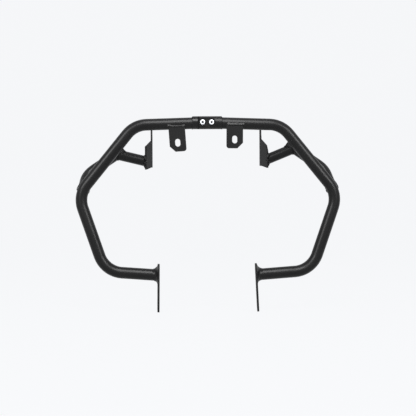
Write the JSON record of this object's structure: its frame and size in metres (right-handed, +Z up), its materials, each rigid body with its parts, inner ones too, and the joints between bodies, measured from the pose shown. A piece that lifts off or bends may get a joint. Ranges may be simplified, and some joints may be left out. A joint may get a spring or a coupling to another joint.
{
  "type": "motorcycle crash bars",
  "caption": "Two-piece bent tube crash bars for a motorcycle, bolted at a half-lap centre joint, with braces, struts, frame plates and slotted front tabs.",
  "frame": {"origin": "middle of the bottom of the bounding box: at the level of the feet of the lower plates, upright as on the motorcycle", "axes": "+X to the viewer's right when the bars are seen from the front as in the picture, +Y away from that viewer, towards the motorcycle, +Z up. Left in a node's name is the viewer's left, -X"},
  "size_m": [0.579, 0.1467, 0.4274],
  "materials": {
    "powder_coat": "satin black powder coat over steel",
    "zinc_screw": "bright zinc plated steel"
  },
  "bodies": {
    "root": {"left_loop_tube": "powder_coat", "left_lap_plug": "powder_coat", "left_lap_weld": "powder_coat", "left_brace_tube": "powder_coat", "left_brace_cap": "powder_coat", "left_brace_weld": "powder_coat", "left_strut_tube": "powder_coat", "left_strut_weld": "powder_coat", "left_mid_plate": "powder_coat", "left_mid_weld": "powder_coat", "left_lower_plate": "powder_coat", "left_lower_weld": "powder_coat", "left_tab": "powder_coat", "left_tab_weld": "powder_coat", "left_joint_screw": "zinc_screw", "right_loop_tube": "powder_coat", "right_lap_plug": "powder_coat", "right_lap_weld": "powder_coat", "right_brace_tube": "powder_coat", "right_brace_cap": "powder_coat", "right_brace_weld": "powder_coat", "right_strut_tube": "powder_coat", "right_strut_weld": "powder_coat", "right_mid_plate": "powder_coat", "right_mid_weld": "powder_coat", "right_lower_plate": "powder_coat", "right_lower_weld": "powder_coat", "right_tab": "powder_coat", "right_tab_weld": "powder_coat", "right_joint_screw": "zinc_screw"}
  },
  "joints": []
}
